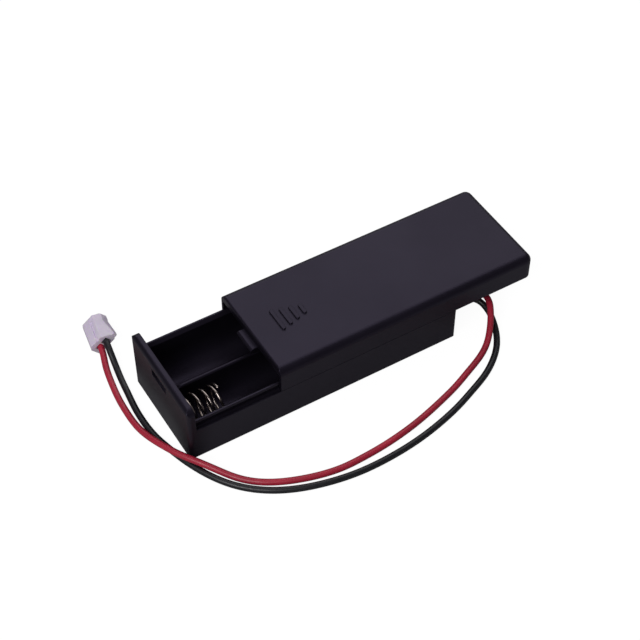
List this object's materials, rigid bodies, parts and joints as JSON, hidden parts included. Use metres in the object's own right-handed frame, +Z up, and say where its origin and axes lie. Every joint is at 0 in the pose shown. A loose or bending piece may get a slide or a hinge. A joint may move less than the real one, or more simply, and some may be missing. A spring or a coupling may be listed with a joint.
{
  "type": "cylindrical cell holder",
  "caption": "Moulded tray for cylindrical cells lying side by side, with a sliding cover, sprung contacts, a recessed slide switch and red and black leads that end in a plug.",
  "frame": {"origin": "centre of the tray's underside, on the surface it stands on", "axes": "+X along the cells towards the wall where the leads come out, +Y across the cells, +Z up through the cover"},
  "size_m": [0.0958, 0.067, 0.016],
  "materials": {
    "black_abs": "fine satin moulding",
    "nickel_steel": "nickel-plated spring steel sheet",
    "spring_wire": "nickel-plated spring wire",
    "contact_brass": "tin-flashed brass",
    "phenolic": "paper laminate board",
    "switch_nylon": "matt moulding",
    "red_pvc": "soft cable sheath",
    "black_pvc": "soft cable sheath",
    "white_nylon": "natural nylon moulding",
    "solder": "bright solder"
  },
  "bodies": {
    "holder": {"tray": "black_abs", "bridge_plate": "nickel_steel", "bridge_spring": "spring_wire", "positive_plate": "nickel_steel", "negative_plate": "nickel_steel", "negative_spring": "spring_wire", "switch_shell": "nickel_steel", "switch_base": "phenolic", "switch_pin_1": "contact_brass", "switch_pin_2": "contact_brass", "switch_pin_3": "contact_brass", "jumper_wire": "red_pvc", "solder_joints": "solder", "red_lead": "red_pvc", "black_lead": "black_pvc", "plug_housing": "white_nylon", "red_terminal": "contact_brass", "black_terminal": "contact_brass"},
    "cover": {"sliding_cover": "black_abs"},
    "switch_knob": {"switch_slider": "switch_nylon", "switch_wiper": "contact_brass"}
  },
  "joints": [
    {"name": "cover_slide", "type": "slide", "parent": "holder", "child": "cover", "axis": [1, 0, 0], "range_m": [-0.0205, 0.036]},
    {"name": "switch_slide", "type": "slide", "parent": "holder", "child": "switch_knob", "axis": [0, -1, 0], "range_m": [0, 0.002]}
  ]
}
